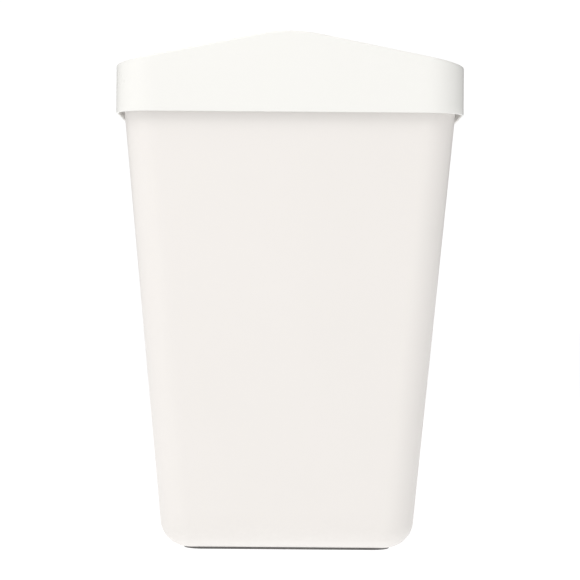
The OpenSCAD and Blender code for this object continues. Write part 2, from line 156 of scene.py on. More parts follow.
def roof_z(x, top):
    """Height of the roof's outer face at x, for a ridge at height top."""
    centre = top - RIDGE_RADIUS
    if abs(x) < RIDGE_RADIUS * math.sin(ROOF_PITCH):
        return centre + math.sqrt(RIDGE_RADIUS ** 2 - x * x)
    return centre + RIDGE_RADIUS / math.cos(ROOF_PITCH) - abs(x) * math.tan(ROOF_PITCH)


def outline(half_x, half_y, corner, side=44, turn=10):
    """A rounded rectangle of evenly numbered stations, anticlockwise seen from above."""
    core_x, core_y = half_x - corner, half_y - corner
    centres = [(core_x, core_y), (-core_x, core_y), (-core_x, -core_y), (core_x, -core_y)]
    stations = []
    for k, (cx, cy) in enumerate(centres):
        start = k * math.pi / 2
        arc = [(cx + corner * math.cos(start + math.pi / 2 * i / turn),
                cy + corner * math.sin(start + math.pi / 2 * i / turn)) for i in range(turn + 1)]
        stations += arc
        nx, ny = centres[(k + 1) % 4]
        end = start + math.pi / 2
        first = arc[-1]
        last = (nx + corner * math.cos(end), ny + corner * math.sin(end))
        for i in range(1, side):
            t = i / side
            stations.append((first[0] + (last[0] - first[0]) * t, first[1] + (last[1] - first[1]) * t))
    return stations


# ---------------------------------------------------------------- geometry node trees

def tree_with(name, inputs):
    """A geometry tree with the named inputs, its group input and group output."""
    tree = bpy.data.node_groups.new(name, "GeometryNodeTree")
    tree.interface.new_socket("Geometry", in_out="INPUT", socket_type="NodeSocketGeometry")
    tree.interface.new_socket("Geometry", in_out="OUTPUT", socket_type="NodeSocketGeometry")
    for label, kind, value in inputs:
        socket = tree.interface.new_socket(label, in_out="INPUT", socket_type="NodeSocket" + kind)
        if value is not None:
            socket.default_value = value
    return tree, tree.nodes.new("NodeGroupInput"), tree.nodes.new("NodeGroupOutput")


def run_tree(piece, tree, values):
    """Runs the tree on the piece with values by input name, and keeps the plain mesh."""
    modifier = piece.modifiers.new(tree.name, "NODES")
    modifier.node_group = tree
    names = {i.name: i.identifier for i in tree.interface.items_tree if getattr(i, "in_out", "") == "INPUT"}
    for label, value in values.items():
        modifier[names[label]] = value
    apply_modifiers(piece)


def wire(tree, *links):
    """Joins each source socket to its target socket."""
    for source, target in links:
        tree.links.new(source, target)


def shell_tree():
    """Carries a profile of outward offset and height round a rounded rectangle, then leans the walls.

    The profile is drawn in X and -Y. Each corner moves in by Lean for every metre below Lean From."""
    tree, entry, result = tree_with("leaning_shell", [
        ("Width", "Float", 0.3), ("Depth", "Float", 0.2), ("Corner Radius", "Float", 0.03),
        ("Corner Steps", "Int", 14), ("Lean", "Float", 0.0), ("Lean From", "Float", 0.0),
        ("Centre Y", "Float", 0.0), ("Material", "Material", None)])
    make = tree.nodes.new
    quad, fillet, upright = (make("GeometryNode" + k) for k in (
        "CurvePrimitiveQuadrilateral", "FilletCurve", "SetCurveNormal"))
    profile, sweep, merge = (make("GeometryNode" + k) for k in (
        "MeshToCurve", "CurveToMesh", "MergeByDistance"))
    place, lean, realize, paint = (make("GeometryNode" + k) for k in (
        "InputPosition", "SetPosition", "RealizeInstances", "SetMaterial"))
    split, move = make("ShaderNodeSeparateXYZ"), make("ShaderNodeCombineXYZ")
    below, amount, side_x, side_y, in_x, in_y, shift = (make("ShaderNodeMath") for _ in range(7))
    for node, kind in ((below, "SUBTRACT"), (amount, "MULTIPLY"), (side_x, "SIGN"), (side_y, "SIGN"),
                       (in_x, "MULTIPLY"), (in_y, "MULTIPLY"), (shift, "ADD")):
        node.operation = kind
    upright.mode, fillet.mode = "Z_UP", "POLY"
    merge.inputs["Distance"].default_value = 1e-6
    wire(tree, (entry.outputs["Width"], quad.inputs["Width"]),
         (entry.outputs["Depth"], quad.inputs["Height"]), (quad.outputs["Curve"], fillet.inputs["Curve"]),
         (entry.outputs["Corner Steps"], fillet.inputs["Count"]),
         (entry.outputs["Corner Radius"], fillet.inputs["Radius"]),
         (fillet.outputs["Curve"], upright.inputs["Curve"]),
         (upright.outputs["Curve"], sweep.inputs["Curve"]),
         (entry.outputs["Geometry"], profile.inputs["Mesh"]),
         (profile.outputs["Curve"], sweep.inputs["Profile Curve"]),
         (sweep.outputs["Mesh"], merge.inputs["Geometry"]),
         (merge.outputs["Geometry"], lean.inputs["Geometry"]), (place.outputs[0], split.inputs[0]),
         (split.outputs["Z"], below.inputs[0]), (entry.outputs["Lean From"], below.inputs[1]),
         (below.outputs[0], amount.inputs[0]), (entry.outputs["Lean"], amount.inputs[1]),
         (split.outputs["X"], side_x.inputs[0]), (split.outputs["Y"], side_y.inputs[0]),
         (side_x.outputs[0], in_x.inputs[0]), (amount.outputs[0], in_x.inputs[1]),
         (side_y.outputs[0], in_y.inputs[0]), (amount.outputs[0], in_y.inputs[1]),
         (in_y.outputs[0], shift.inputs[0]), (entry.outputs["Centre Y"], shift.inputs[1]),
         (in_x.outputs[0], move.inputs["X"]), (shift.outputs[0], move.inputs["Y"]),
         (move.outputs[0], lean.inputs["Offset"]), (lean.outputs["Geometry"], realize.inputs["Geometry"]),
         (realize.outputs["Geometry"], paint.inputs["Geometry"]),
         (entry.outputs["Material"], paint.inputs["Material"]),
         (paint.outputs["Geometry"], result.inputs["Geometry"]))
    return tree


def rib_tree():
    """A row of round-topped ribs along Y, standing on z = 0."""
    tree, entry, result = tree_with("rib_row", [
        ("Count", "Int", 5), ("Pitch", "Float", 0.005), ("Length", "Float", 0.05), ("Width", "Float", 0.003),
        ("Height", "Float", 0.001), ("Material", "Material", None)])
    make = tree.nodes.new
    line, spine, section = (make("GeometryNode" + k) for k in (
        "MeshLine", "CurvePrimitiveLine", "CurvePrimitiveCircle"))
    sweep, squash, place = (make("GeometryNode" + k) for k in (
        "CurveToMesh", "Transform", "InstanceOnPoints"))
    realize, paint, shift = (make("GeometryNode" + k) for k in (
        "RealizeInstances", "SetMaterial", "Transform"))
    offset, start, end, scale, back = (make("ShaderNodeCombineXYZ") for _ in range(5))
    half, radius, ratio, minus, count, negative, middle = (make("ShaderNodeMath") for _ in range(7))
    section.mode = "RADIUS"
    section.inputs["Resolution"].default_value = 16
    sweep.inputs["Fill Caps"].default_value = True
    scale.inputs["X"].default_value = scale.inputs["Y"].default_value = 1
    for node, kind, value in ((half, "MULTIPLY", 0.5), (radius, "MULTIPLY", 0.5), (ratio, "DIVIDE", 1),
                              (negative, "MULTIPLY", -0.5), (minus, "SUBTRACT", 1),
                              (count, "MULTIPLY", -0.5), (middle, "MULTIPLY", 1)):
        node.operation = kind
        node.inputs[1].default_value = value
    wire(tree, (entry.outputs["Count"], line.inputs["Count"]),
         (entry.outputs["Pitch"], offset.inputs["Y"]), (offset.outputs[0], line.inputs["Offset"]),
         (entry.outputs["Length"], half.inputs[0]), (half.outputs[0], end.inputs["X"]),
         (entry.outputs["Length"], negative.inputs[0]), (negative.outputs[0], start.inputs["X"]),
         (start.outputs[0], spine.inputs["Start"]), (end.outputs[0], spine.inputs["End"]),
         (entry.outputs["Width"], radius.inputs[0]), (radius.outputs[0], section.inputs["Radius"]),
         (spine.outputs["Curve"], sweep.inputs["Curve"]),
         (section.outputs["Curve"], sweep.inputs["Profile Curve"]),
         (entry.outputs["Height"], ratio.inputs[0]), (radius.outputs[0], ratio.inputs[1]),
         (ratio.outputs[0], scale.inputs["Z"]), (scale.outputs[0], squash.inputs["Scale"]),
         (sweep.outputs["Mesh"], squash.inputs["Geometry"]),
         (line.outputs["Mesh"], place.inputs["Points"]),
         (squash.outputs["Geometry"], place.inputs["Instance"]),
         (place.outputs["Instances"], realize.inputs["Geometry"]),
         (entry.outputs["Count"], minus.inputs[0]), (minus.outputs[0], count.inputs[0]),
         (count.outputs[0], middle.inputs[0]), (entry.outputs["Pitch"], middle.inputs[1]),
         (middle.outputs[0], back.inputs["Y"]), (back.outputs[0], shift.inputs["Translation"]),
         (realize.outputs["Geometry"], shift.inputs["Geometry"]),
         (shift.outputs["Geometry"], paint.inputs["Geometry"]),
         (entry.outputs["Material"], paint.inputs["Material"]),
         (paint.outputs["Geometry"], result.inputs["Geometry"]))
    return tree


def screw_tree():
    """Puts a pan-head screw at every point, its head along the point's seat_axis."""
    tree, entry, result = tree_with("pan_head_screws", [
        ("Head Radius", "Float", 0.003), ("Head Height", "Float", 0.0018), ("Shank Radius", "Float", 0.0015),
        ("Shank Length", "Float", 0.003), ("Slot Width", "Float", 0.0008), ("Material", "Material", None)])
    make = tree.nodes.new
    dome, flatten, shank, lower = (make("GeometryNode" + k) for k in (
        "MeshUVSphere", "Transform", "MeshCylinder", "Transform"))
    slot_a, slot_b = (make("GeometryNodeMeshCube") for _ in range(2))
    slots, raise_slots, carve, whole = (make("GeometryNode" + k) for k in (
        "JoinGeometry", "Transform", "MeshBoolean", "JoinGeometry"))
    axis, place, realize, paint = (make("GeometryNode" + k) for k in (
        "InputNamedAttribute", "InstanceOnPoints", "RealizeInstances", "SetMaterial"))
    align = make("FunctionNodeAlignRotationToVector")
    ratio, half_down, slot_len = (make("ShaderNodeMath") for _ in range(3))
    squash, down, size_a, size_b, top = (make("ShaderNodeCombineXYZ") for _ in range(5))
    dome.inputs["Segments"].default_value, dome.inputs["Rings"].default_value = 24, 12
    shank.inputs["Vertices"].default_value = 24
    carve.operation = "DIFFERENCE"
    axis.data_type = "FLOAT_VECTOR"
    axis.inputs["Name"].default_value = "seat_axis"
    align.axis = "Z"
    squash.inputs["X"].default_value = squash.inputs["Y"].default_value = 1
    for node, kind, value in ((ratio, "DIVIDE", 1), (half_down, "MULTIPLY", -0.5),
                              (slot_len, "MULTIPLY", 1.1)):
        node.operation = kind
        node.inputs[1].default_value = value
    wire(tree, (entry.outputs["Head Radius"], dome.inputs["Radius"]),
         (entry.outputs["Head Height"], ratio.inputs[0]), (entry.outputs["Head Radius"], ratio.inputs[1]),
         (ratio.outputs[0], squash.inputs["Z"]), (squash.outputs[0], flatten.inputs["Scale"]),
         (dome.outputs["Mesh"], flatten.inputs["Geometry"]),
         (entry.outputs["Shank Radius"], shank.inputs["Radius"]),
         (entry.outputs["Shank Length"], shank.inputs["Depth"]),
         (entry.outputs["Shank Length"], half_down.inputs[0]), (half_down.outputs[0], down.inputs["Z"]),
         (shank.outputs["Mesh"], lower.inputs["Geometry"]),
         (down.outputs[0], lower.inputs["Translation"]),
         (entry.outputs["Head Radius"], slot_len.inputs[0]), (slot_len.outputs[0], size_a.inputs["X"]),
         (entry.outputs["Slot Width"], size_a.inputs["Y"]),
         (entry.outputs["Head Height"], size_a.inputs["Z"]),
         (entry.outputs["Slot Width"], size_b.inputs["X"]), (slot_len.outputs[0], size_b.inputs["Y"]),
         (entry.outputs["Head Height"], size_b.inputs["Z"]), (size_a.outputs[0], slot_a.inputs["Size"]),
         (size_b.outputs[0], slot_b.inputs["Size"]), (slot_a.outputs["Mesh"], slots.inputs[0]),
         (slot_b.outputs["Mesh"], slots.inputs[0]), (entry.outputs["Head Height"], top.inputs["Z"]),
         (top.outputs[0], raise_slots.inputs["Translation"]),
         (slots.outputs[0], raise_slots.inputs["Geometry"]),
         (flatten.outputs["Geometry"], carve.inputs["Mesh 1"]),
         (raise_slots.outputs["Geometry"], carve.inputs["Mesh 2"]),
         (carve.outputs["Mesh"], whole.inputs[0]), (lower.outputs["Geometry"], whole.inputs[0]),
         (whole.outputs[0], place.inputs["Instance"]),
         (entry.outputs["Geometry"], place.inputs["Points"]),
         (axis.outputs["Attribute"], align.inputs["Vector"]),
         (align.outputs["Rotation"], place.inputs["Rotation"]),
         (place.outputs["Instances"], realize.inputs["Geometry"]),
         (realize.outputs["Geometry"], paint.inputs["Geometry"]),
         (entry.outputs["Material"], paint.inputs["Material"]),
         (paint.outputs["Geometry"], result.inputs["Geometry"]))
    return tree


# ---------------------------------------------------------------- shared shader effects

def effect(name, inputs, outputs):
    """A shader node group with named sockets, with its input and output nodes."""
    group = bpy.data.node_groups.new(name, "ShaderNodeTree")
    for label, kind, value in inputs:
        socket = group.interface.new_socket(label, in_out="INPUT", socket_type="NodeSocket" + kind)
        socket.default_value = value
    for label, kind in outputs:
        group.interface.new_socket(label, in_out="OUTPUT", socket_type="NodeSocket" + kind)
    return group, group.nodes.new("NodeGroupInput"), group.nodes.new("NodeGroupOutput")


def moulded_skin():
    """Fine texture of a plastic moulding: even grain with slow waviness from the mould."""
    group, entry, result = effect("moulded_skin", [("Grain Size", "Float", 900), ("Wave Size", "Float", 9),
                                                   ("Wave Share", "Float", 0.5)],
                                  [("Height", "Float"), ("Tone", "Float")])
    place, grain, wave = (group.nodes.new(k) for k in ("ShaderNodeTexCoord", "ShaderNodeTexNoise",
                                                       "ShaderNodeTexNoise"))
    mix = group.nodes.new("ShaderNodeMix")
    grain.inputs["Detail"].default_value, wave.inputs["Detail"].default_value = 3, 2
    wire(group, (place.outputs["Object"], grain.inputs["Vector"]),
         (place.outputs["Object"], wave.inputs["Vector"]),
         (entry.outputs["Grain Size"], grain.inputs["Scale"]),
         (entry.outputs["Wave Size"], wave.inputs["Scale"]),
         (entry.outputs["Wave Share"], mix.inputs["Factor"]), (grain.outputs["Fac"], mix.inputs["A"]),
         (wave.outputs["Fac"], mix.inputs["B"]), (mix.outputs["Result"], result.inputs["Height"]),
         (wave.outputs["Fac"], result.inputs["Tone"]))
    return group


def handling():
    """Faint smudges and fine rubbed marks, as a mask from 0 to 1."""
    group, entry, result = effect("handling", [("Patch Size", "Float", 14), ("Mark Size", "Float", 60),
                                               ("Threshold", "Float", 0.58)], [("Mask", "Float")])
    place, patch, marks, ramp = (group.nodes.new(k) for k in (
        "ShaderNodeTexCoord", "ShaderNodeTexNoise", "ShaderNodeTexNoise", "ShaderNodeMapRange"))
    stretch, multiply = group.nodes.new("ShaderNodeMapping"), group.nodes.new("ShaderNodeMath")
    multiply.operation = "MULTIPLY"
    stretch.inputs["Scale"].default_value = (1, 1, 0.25)
    ramp.inputs["From Max"].default_value = 0.75
    marks.inputs["Detail"].default_value = 6
    wire(group, (place.outputs["Object"], patch.inputs["Vector"]),
         (place.outputs["Object"], stretch.inputs["Vector"]),
         (stretch.outputs[0], marks.inputs["Vector"]),
         (entry.outputs["Patch Size"], patch.inputs["Scale"]),
         (entry.outputs["Mark Size"], marks.inputs["Scale"]),
         (patch.outputs["Fac"], ramp.inputs["Value"]),
         (entry.outputs["Threshold"], ramp.inputs["From Min"]), (ramp.outputs[0], multiply.inputs[0]),
         (marks.outputs["Fac"], multiply.inputs[1]), (multiply.outputs[0], result.inputs["Mask"]))
    return group


def settled_dust():
    """Dust that gathers near the floor, as a mask from 0 to 1."""
    group, entry, result = effect("settled_dust", [("Height", "Float", 0.05), ("Speckle Size", "Float", 220)],
                                  [("Mask", "Float")])
    place, split, fade, speckle, multiply = (group.nodes.new(k) for k in (
        "ShaderNodeTexCoord", "ShaderNodeSeparateXYZ", "ShaderNodeMapRange", "ShaderNodeTexNoise",
        "ShaderNodeMath"))
    multiply.operation = "MULTIPLY"
    speckle.inputs["Detail"].default_value = 5
    fade.inputs["To Min"].default_value, fade.inputs["To Max"].default_value = 1, 0
    fade.inputs["From Min"].default_value = 0
    wire(group, (place.outputs["Object"], split.inputs[0]), (split.outputs["Z"], fade.inputs["Value"]),
         (entry.outputs["Height"], fade.inputs["From Max"]),
         (place.outputs["Object"], speckle.inputs["Vector"]),
         (entry.outputs["Speckle Size"], speckle.inputs["Scale"]), (fade.outputs[0], multiply.inputs[0]),
         (speckle.outputs["Fac"], multiply.inputs[1]), (multiply.outputs[0], result.inputs["Mask"]))
    return group


def drawn_lines():
    """Fine lines along a drawn or rolled metal part."""
    group, entry, result = effect("drawn_lines", [("Stretch", "Vector", (1, 0.02, 1)),
                                                  ("Line Size", "Float", 1400)],
                                  [("Height", "Float"), ("Tone", "Float")])
    place, scale, lines, cloud = (group.nodes.new(k) for k in (
        "ShaderNodeTexCoord", "ShaderNodeVectorMath", "ShaderNodeTexNoise", "ShaderNodeTexNoise"))
    scale.operation = "MULTIPLY"
    lines.inputs["Detail"].default_value, cloud.inputs["Scale"].default_value = 4, 40
    wire(group, (place.outputs["Object"], scale.inputs[0]), (entry.outputs["Stretch"], scale.inputs[1]),
         (scale.outputs[0], lines.inputs["Vector"]), (entry.outputs["Line Size"], lines.inputs["Scale"]),
         (place.outputs["Object"], cloud.inputs["Vector"]), (lines.outputs["Fac"], result.inputs["Height"]),
         (cloud.outputs["Fac"], result.inputs["Tone"]))
    return group


SKIN, HANDLING, DUST, DRAWN = moulded_skin(), handling(), settled_dust(), drawn_lines()


# ---------------------------------------------------------------- materials

def use(material, group, **values):
    """Puts a shared effect into the material, with its inputs by name, underscores for spaces."""
    node = material.node_tree.nodes.new("ShaderNodeGroup")
    node.node_tree = group
    for label, value in values.items():
        node.inputs[label.replace("_", " ")].default_value = value
    return node


def blank(name):
    """A new material, its node tree and its surface shader."""
    material = bpy.data.materials.new(name)
    material.use_nodes = True
    return material, material.node_tree, material.node_tree.nodes["Principled BSDF"]


def two_tone(tree, factor, first, second):
    """A colour that goes from first to second with factor."""
    mix = tree.nodes.new("ShaderNodeMix")
    mix.data_type = "RGBA"
    mix.inputs["A"].default_value, mix.inputs["B"].default_value = (*first, 1), (*second, 1)
    tree.links.new(factor, mix.inputs["Factor"])
    return mix.outputs["Result"]


def ranged(tree, value, low, high, from_low=0.3, from_high=0.7):
    """Carries value from the range it varies in to low..high."""
    node = tree.nodes.new("ShaderNodeMapRange")
    for label, number in (("From Min", from_low), ("From Max", from_high), ("To Min", low), ("To Max", high)):
        node.inputs[label].default_value = number
    tree.links.new(value, node.inputs["Value"])
    return node.outputs[0]


def overlay(tree, base, mask, colour, share):
    """Lays a colour over base where mask is, up to share."""
    scale, mix = tree.nodes.new("ShaderNodeMath"), tree.nodes.new("ShaderNodeMix")
    scale.operation, scale.inputs[1].default_value, scale.use_clamp = "MULTIPLY", share, True
    mix.data_type = "RGBA"
    mix.inputs["B"].default_value = (*colour, 1)
    wire(tree, (mask, scale.inputs[0]), (scale.outputs[0], mix.inputs["Factor"]), (base, mix.inputs["A"]))
    return mix.outputs["Result"]


def moulding(name, light, shade, rough, grain=900, depth=0.00002, waviness=0.35, dust=0.0):
    """Injection-moulded plastic: two near tones, mould texture, faint handling marks and dust."""
    material, tree, shader = blank(name)
    skin = use(material, SKIN, Grain_Size=grain, Wave_Size=9, Wave_Share=waviness)
    marks = use(material, HANDLING, Patch_Size=13, Mark_Size=60, Threshold=0.56)
    settled = use(material, DUST, Height=0.045, Speckle_Size=260)
    colour = two_tone(tree, skin.outputs["Tone"], light, shade)
    colour = overlay(tree, colour, settled.outputs["Mask"], (0.42, 0.39, 0.35), dust)
    colour = overlay(tree, colour, marks.outputs["Mask"], shade, 0.35)
    roughness = tree.nodes.new("ShaderNodeMath")
    roughness.operation = "MULTIPLY_ADD"
    roughness.inputs[1].default_value = -0.12
    wire(tree, (marks.outputs["Mask"], roughness.inputs[0]),
         (ranged(tree, skin.outputs["Tone"], rough - 0.03, rough + 0.04), roughness.inputs[2]))
    bump = tree.nodes.new("ShaderNodeBump")
    bump.inputs["Strength"].default_value, bump.inputs["Distance"].default_value = 0.5, depth
    wire(tree, (skin.outputs["Height"], bump.inputs["Height"]),
         (bump.outputs["Normal"], shader.inputs["Normal"]), (colour, shader.inputs["Base Color"]),
         (roughness.outputs[0], shader.inputs["Roughness"]))
    shader.inputs["IOR"].default_value = 1.49
    return material


def rubber(name, light, shade, rough):
    """Soft rubber with a fine pebbled face and a little dust in it."""
    material, tree, shader = blank(name)
    skin = use(material, SKIN, Grain_Size=1500, Wave_Size=30, Wave_Share=0.2)
    settled = use(material, DUST, Height=0.03, Speckle_Size=400)
    colour = overlay(tree, two_tone(tree, skin.outputs["Tone"], light, shade), settled.outputs["Mask"],
                     (0.30, 0.29, 0.27), 0.5)
    bump = tree.nodes.new("ShaderNodeBump")
    bump.inputs["Strength"].default_value, bump.inputs["Distance"].default_value = 0.7, 0.00006
    wire(tree, (skin.outputs["Height"], bump.inputs["Height"]),
         (bump.outputs["Normal"], shader.inputs["Normal"]), (colour, shader.inputs["Base Color"]),
         (ranged(tree, skin.outputs["Height"], rough - 0.06, rough + 0.06), shader.inputs["Roughness"]))
    shader.inputs["IOR"].default_value = 1.52
    return material


def steel(name, light, shade, rough, stretch, line_size=1400):
    """Zinc-plated steel with lines along the way it was drawn, clouded where the plating is thin."""
    material, tree, shader = blank(name)
    lines = use(material, DRAWN, Stretch=stretch, Line_Size=line_size)
    marks = use(material, HANDLING, Patch_Size=45, Mark_Size=120, Threshold=0.5)
    colour = overlay(tree, two_tone(tree, lines.outputs["Tone"], light, shade), marks.outputs["Mask"],
                     (0.36, 0.35, 0.33), 0.5)
    bump = tree.nodes.new("ShaderNodeBump")
    bump.inputs["Strength"].default_value, bump.inputs["Distance"].default_value = 0.35, 0.00002
    wire(tree, (lines.outputs["Height"], bump.inputs["Height"]),
         (bump.outputs["Normal"], shader.inputs["Normal"]), (colour, shader.inputs["Base Color"]),
         (ranged(tree, lines.outputs["Height"], rough - 0.08, rough + 0.1), shader.inputs["Roughness"]))
    shader.inputs["Metallic"].default_value = 1
    return material


HOOD_WHITE = moulding("hood_white", (0.905, 0.905, 0.885), (0.890, 0.892, 0.868), 0.34, depth=0.000012)
TUB_WHITE = moulding("tub_white", (0.868, 0.842, 0.820),
                     (0.850, 0.824, 0.800), 0.40, depth=0.00002, dust=0.12)
TREAD_WHITE = moulding("tread_white", (0.865, 0.842, 0.820),
                       (0.84, 0.815, 0.792), 0.45, depth=0.00003, dust=0.3)
BUCKET_GREY = moulding("bucket_grey", (0.50, 0.51, 0.51), (0.46, 0.47, 0.47), 0.5, grain=700, depth=0.00004)
SCREEN_WHITE = moulding("screen_white", (0.80, 0.80, 0.79), (0.77, 0.77, 0.76), 0.45)
GREY_MOULDING = moulding("grey_moulding", (0.30, 0.31, 0.32),
                         (0.26, 0.27, 0.28), 0.5, grain=1100, depth=0.00003)
DARK_RUBBER = rubber("dark_rubber", (0.095, 0.090, 0.094), (0.072, 0.069, 0.073), 0.72)
SEAL_RUBBER = rubber("seal_rubber", (0.62, 0.62, 0.60), (0.57, 0.57, 0.55), 0.6)
LEVER_STEEL = steel("rolled_steel", (0.60, 0.61, 0.62), (0.52, 0.53, 0.54), 0.36, (1, 0.03, 1))
ROD_STEEL = steel("drawn_steel", (0.66, 0.67, 0.68), (0.58, 0.59, 0.60), 0.27, (1, 1, 0.02), 1800)
AXLE_STEEL = steel("axle_steel", (0.64, 0.65, 0.66), (0.56, 0.57, 0.58), 0.28, (0.02, 1, 1), 1800)
SCREW_ZINC = steel("screw_zinc", (0.56, 0.57, 0.59), (0.48, 0.49, 0.51), 0.38, (1, 1, 1), 900)


# ---------------------------------------------------------------- shells of the tub and the bucket

SHELL, RIBS, SCREWS = shell_tree(), rib_tree(), screw_tree()
SLOPE = math.tan(LEAN)
hood_low, hood_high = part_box("hood")
tub_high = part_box("outer_tub")[1]
ROOF_TOP = hood_high.z
HOOD_X, HOOD_Y = hood_high.x, hood_high.y
RIM_Z = tub_high.z
BEAD = 1.4 * MM                         # how far the rolled rim stands out
RIM_X, RIM_Y = tub_high.x - BEAD, tub_high.y - BEAD


def toe(z0, radius, inset, steps=12):
    """Profile of a rounded toe, from the underside up to the wall."""
    arc = [math.pi / 2 * i / steps for i in range(steps + 1)]
    return [(-inset - radius * (1 - math.sin(a)), z0 + radius * (1 - math.cos(a))) for a in arc]


def climb(start, end, steps):
    """Evenly spaced profile points between two, both left out."""
    return [tuple(a + (b - a) * i / steps for a, b in zip(start, end)) for i in range(1, steps)]


def carried(name, profile, size, corner, material, centre_y=0.0, lean=SLOPE, caps=True, closed=False):
    """A shell: a profile of (offset, height) round a rounded rectangle, half sizes size at the rim."""
    bm = bmesh.new()
    points = [bm.verts.new((offset, -height, 0)) for offset, height in profile]
    for a, b in list(zip(points, points[1:])) + ([(points[-1], points[0])] if closed else []):
        bm.edges.new((a, b))
    piece = new_piece(name, bm, material)
    run_tree(piece, SHELL, {"Width": 2 * size[0], "Depth": 2 * size[1], "Corner Radius": corner,
                            "Corner Steps": 14, "Lean": lean, "Lean From": RIM_Z, "Centre Y": centre_y,
                            "Material": material})
    bm = bmesh.new()
    bm.from_mesh(piece.data)
    if caps:
        bmesh.ops.holes_fill(bm, edges=[e for e in bm.edges if e.is_boundary], sides=0)
    bmesh.ops.recalc_face_normals(bm, faces=bm.faces)
    bm.to_mesh(piece.data)
    bm.free()
    finish_mesh(piece, material)
    return piece


def cut(piece, low, high, corner, axis="Y"):
    """Cuts a rounded slot through the piece along Y or Z, between corners low and high."""
    low, high = Vector(low), Vector(high)
    centre, half = (low + high) / 2, (high - low) / 2
    flat = outline(half.x, half.z if axis == "Y" else half.y, corner, side=2, turn=6)
    ends = (low.y, high.y) if axis == "Y" else (low.z, high.z)
    bm = bmesh.new()
    rings = []
    for end in ends:
        if axis == "Y":
            rings.append([(centre.x + u, end, centre.z + v) for u, v in flat])
        else:
            rings.append([(centre.x + u, centre.y + v, end) for u, v in flat])
    loops = ring_band(bm, rings)
    for loop in loops:
        bm.faces.new(loop)
    bmesh.ops.recalc_face_normals(bm, faces=bm.faces)
    cutter = new_piece("slot_cutter", bm, piece.data.materials[0])
    boolean = piece.modifiers.new("slot", "BOOLEAN")
    boolean.object, boolean.operation, boolean.solver = cutter, "DIFFERENCE", "EXACT"
    apply_modifiers(piece)
    bpy.data.objects.remove(cutter)
    finish_mesh(piece, piece.data.materials[0])


def make_tub():
    """Tapered tub with a rounded toe, a rolled rim and a slot for the lever at the front."""
    floor_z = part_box("base_ring")[1].z
    inner = toe(floor_z + 3 * MM, TOE_RADIUS - WALL, WALL)
    profile = toe(floor_z, TOE_RADIUS, 0)
    under_rim = RIM_Z - 5 * MM
    profile += climb(profile[-1], (0, under_rim), 22)
    profile += [(0, under_rim), (0.5 * MM, under_rim + 0.2 * MM), (1.1 * MM, under_rim + 0.7 * MM),
                (BEAD, under_rim + 1.4 * MM), (BEAD, RIM_Z - 1.1 * MM), (BEAD - 0.35 * MM, RIM_Z - 0.35 * MM),
                (BEAD - 1.1 * MM, RIM_Z), (-WALL + 0.6 * MM, RIM_Z), (-WALL + 0.15 * MM, RIM_Z - 0.2 * MM),
                (-WALL, RIM_Z - 0.7 * MM)]
    profile += climb(profile[-1], inner[-1], 22) + inner[::-1]
    tub = carried("tub_shell", profile, (RIM_X, RIM_Y), TUB_CORNER, TUB_WHITE)
    slot_half, slot_low, slot_high, slot_corner = 16 * MM, 8.9 * MM, 33.7 * MM, 6 * MM
    cut(tub, (-slot_half, -140 * MM, slot_low), (slot_half, -60 * MM, slot_high), slot_corner)
    stands_for(tub, "outer_tub")


def make_bucket():
    """Lift-out bucket with a flange that rests on the rim, and finger notches at its sides."""
    low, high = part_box("inner_bucket")
    side, wall = 6.6 * MM, 1.8 * MM
    top = high.z
    flange = top - RIM_Z
    inset = side + (flange - 0.8 * MM) * SLOPE
    size = (high.x - inset, (high.y - low.y) / 2 - inset)
    outer = toe(low.z, 22 * MM, 0)
    inner = toe(low.z + 2 * MM, 20.2 * MM, wall)
    profile = outer + climb(outer[-1], (0, RIM_Z), 20)
    profile += [(0, RIM_Z), (side - 0.5 * MM, RIM_Z + 0.05 * MM), (side, RIM_Z + 0.6 * MM),
                (side, top - 0.8 * MM), (side - 0.25 * MM, top - 0.25 * MM), (side - 0.8 * MM, top),
                (-wall + 1.2 * MM, top), (-wall + 0.4 * MM, top - 0.3 * MM), (-wall, top - 1.2 * MM)]
    profile += climb(profile[-1], inner[-1], 20) + inner[::-1]
    bucket = carried("bucket_shell", profile, size, TUB_CORNER - side, BUCKET_GREY, (low.y + high.y) / 2)
    notch_half, notch_corner = 4.5 * MM, 4 * MM
    for s in (-1, 1):
        x = s * (RIM_X - 3 * MM)
        cut(bucket, (x - notch_half, -49 * MM, top - flange + 0.03 * MM),
            (x + notch_half, 21 * MM, top + flange), notch_corner, "Z")
    stands_for(bucket, "inner_bucket")


def make_bag_ring():
    """Wire band of flat oval section that holds a liner inside the bucket."""
    low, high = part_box("bag_ring")
    mid, tall, thick = (low.z + high.z) / 2, (high.z - low.z) / 2, 1 * MM
    section = [(-thick + thick * math.cos(a), mid + tall * math.sin(a))
               for a in (2 * math.pi * i / 16 for i in range(16))]
    grow = (RIM_Z - high.z) * SLOPE
    half_y = (high.y - low.y) / 2 + grow
    ring = carried("bag_band", section, (high.x + grow, half_y), 22 * MM, AXLE_STEEL, (low.y + high.y) / 2,
                   caps=False, closed=True)
    stands_for(ring, "bag_ring")


def make_base_ring():
    """Flat rubber ring under the tub, its edges rounded."""
    low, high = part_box("base_ring")
    width, edge = 12 * MM, 0.6 * MM
    profile = [(-edge, low.z), (-0.15 * MM, low.z + 0.2 * MM), (0, low.z + edge), (0, high.z),
               (-width, high.z), (-width, low.z + edge), (-width + 0.15 * MM, low.z + 0.2 * MM),
               (-width + edge, low.z), (-width / 2 - 1 * MM, low.z),
               (-width / 2 - 0.6 * MM, low.z + 0.5 * MM),
               (-width / 2 + 0.6 * MM, low.z + 0.5 * MM), (-width / 2 + 1 * MM, low.z)]
    ring = carried("base_ring_rubber", profile, (high.x, high.y), 20 * MM, DARK_RUBBER, lean=0.0, caps=False,
                   closed=True)
    stands_for(ring, "base_ring")


# ---------------------------------------------------------------- hood

